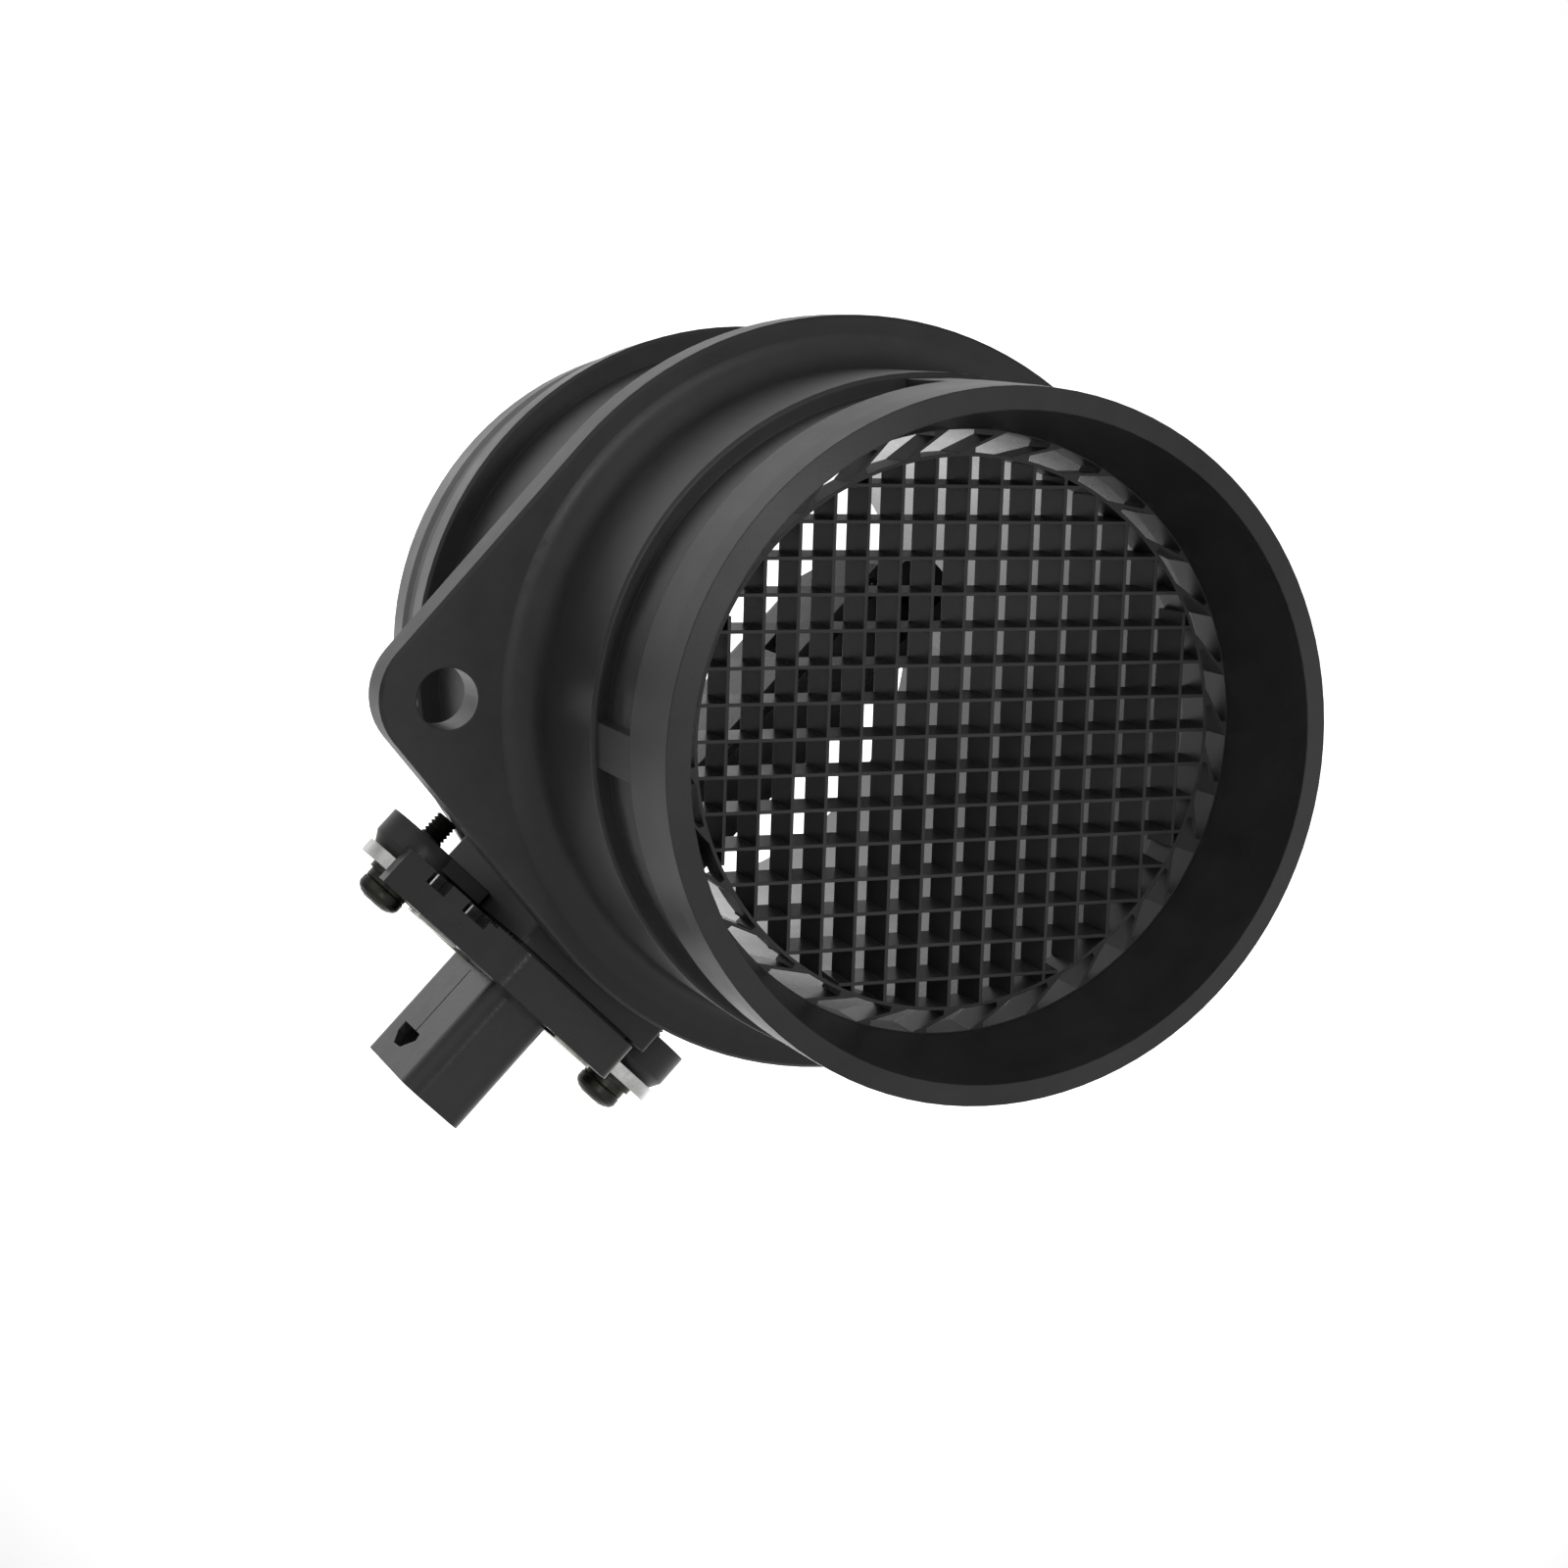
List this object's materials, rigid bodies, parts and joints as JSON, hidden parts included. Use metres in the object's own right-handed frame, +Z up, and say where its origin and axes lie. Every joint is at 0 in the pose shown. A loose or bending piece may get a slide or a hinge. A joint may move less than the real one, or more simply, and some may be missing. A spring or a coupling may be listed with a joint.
{
  "type": "mass airflow sensor",
  "caption": "Plastic intake duct with a two-eared flange, a square-cell flow straightener in the inlet and a screwed-in hot-film sensor insert with a connector socket.",
  "frame": {"origin": "on the duct axis in the plane of the flange's inlet-side face, midway between the two bolt holes", "axes": "+Y along the duct axis in the direction of flow, from the inlet mouth to the hose collar; +X towards one bolt ear; +Z up"},
  "size_m": [0.1474, 0.1371, 0.1296],
  "materials": {
    "housing_plastic": "fine matt moulded surface",
    "grid_plastic": "slightly glossy moulded surface",
    "plate_aluminium": "bright, lightly blasted",
    "terminal_tin": "tinned blades",
    "board_ceramic": "fired ceramic, printed tracks",
    "chip_glass": "polished silicon",
    "thermistor_bead": "glazed bead on bare leads",
    "insert_plastic": "fine matt moulded surface",
    "probe_plastic": "fine matt moulded surface",
    "gel": "clear soft gel",
    "seal_rubber": "smooth moulded cord",
    "cover_metal": "satin, slightly warm",
    "screw_zinc": "black zinc with an olive cast",
    "washer_zinc": "black zinc with an olive cast",
    "insert_brass": "knurled brass"
  },
  "bodies": {
    "root": {"housing": "housing_plastic", "flow_straightener": "grid_plastic", "base_plate": "plate_aluminium", "connector_terminals": "terminal_tin", "circuit_board": "board_ceramic", "sensor_carrier": "board_ceramic", "hot_film_chip": "chip_glass", "intake_thermistor": "thermistor_bead", "insert_body": "insert_plastic", "probe_cover": "probe_plastic", "board_potting": "gel", "insert_seal": "seal_rubber", "cover_plate": "cover_metal", "upper_screw": "screw_zinc", "lower_screw": "screw_zinc", "upper_flat_washer": "washer_zinc", "lower_flat_washer": "washer_zinc", "upper_spring_washer": "washer_zinc", "lower_spring_washer": "washer_zinc", "upper_thread_insert": "insert_brass", "lower_thread_insert": "insert_brass"}
  },
  "joints": []
}
